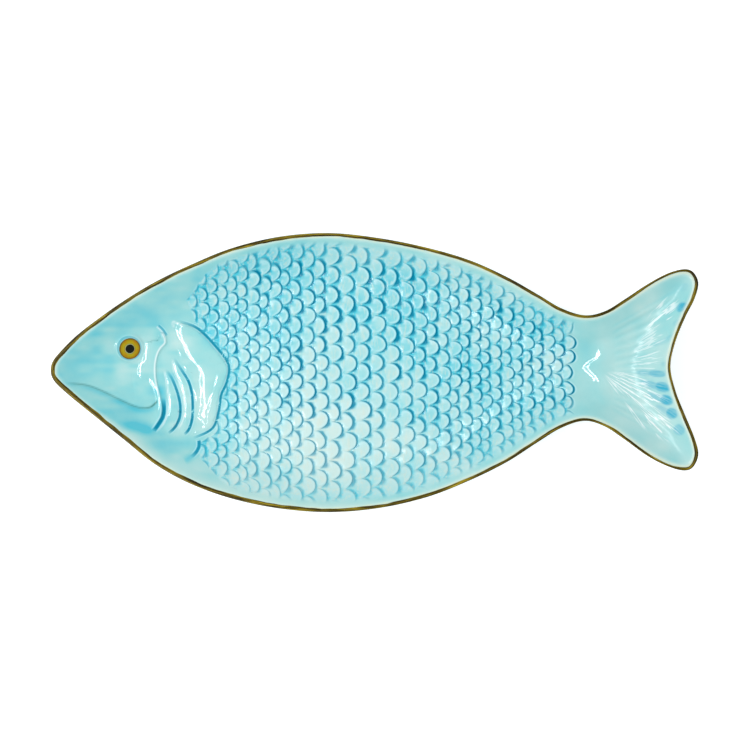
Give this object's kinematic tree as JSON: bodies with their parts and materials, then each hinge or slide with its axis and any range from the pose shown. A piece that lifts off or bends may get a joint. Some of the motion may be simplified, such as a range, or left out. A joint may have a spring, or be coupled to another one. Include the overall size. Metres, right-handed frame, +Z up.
{
  "type": "fish shaped serving platter",
  "caption": "Shallow glazed dish in the shape of a fish, with moulded scales, gill cover, mouth line and tail rays, and a bronze rim.",
  "frame": {"origin": "centre of the bounding box in plan, at the underside of the foot", "axes": "+X from the nose to the tail, +Y towards the back edge of the fish, +Z up out of the dish"},
  "size_m": [0.4, 0.1724, 0.028],
  "materials": {
    "aqua_glaze": "glossy translucent glaze, blue where it pools",
    "bronze_lustre": "streaked bronze brown, semi gloss",
    "ochre_glaze": "glossy, streaked",
    "black_glaze": "glossy",
    "bare_clay": "unglazed, matt"
  },
  "bodies": {
    "root": {"platter_body": "aqua_glaze", "rim_band": "bronze_lustre", "eye_iris": "ochre_glaze", "eye_pupil": "black_glaze", "foot_ring": "bare_clay"}
  },
  "joints": []
}
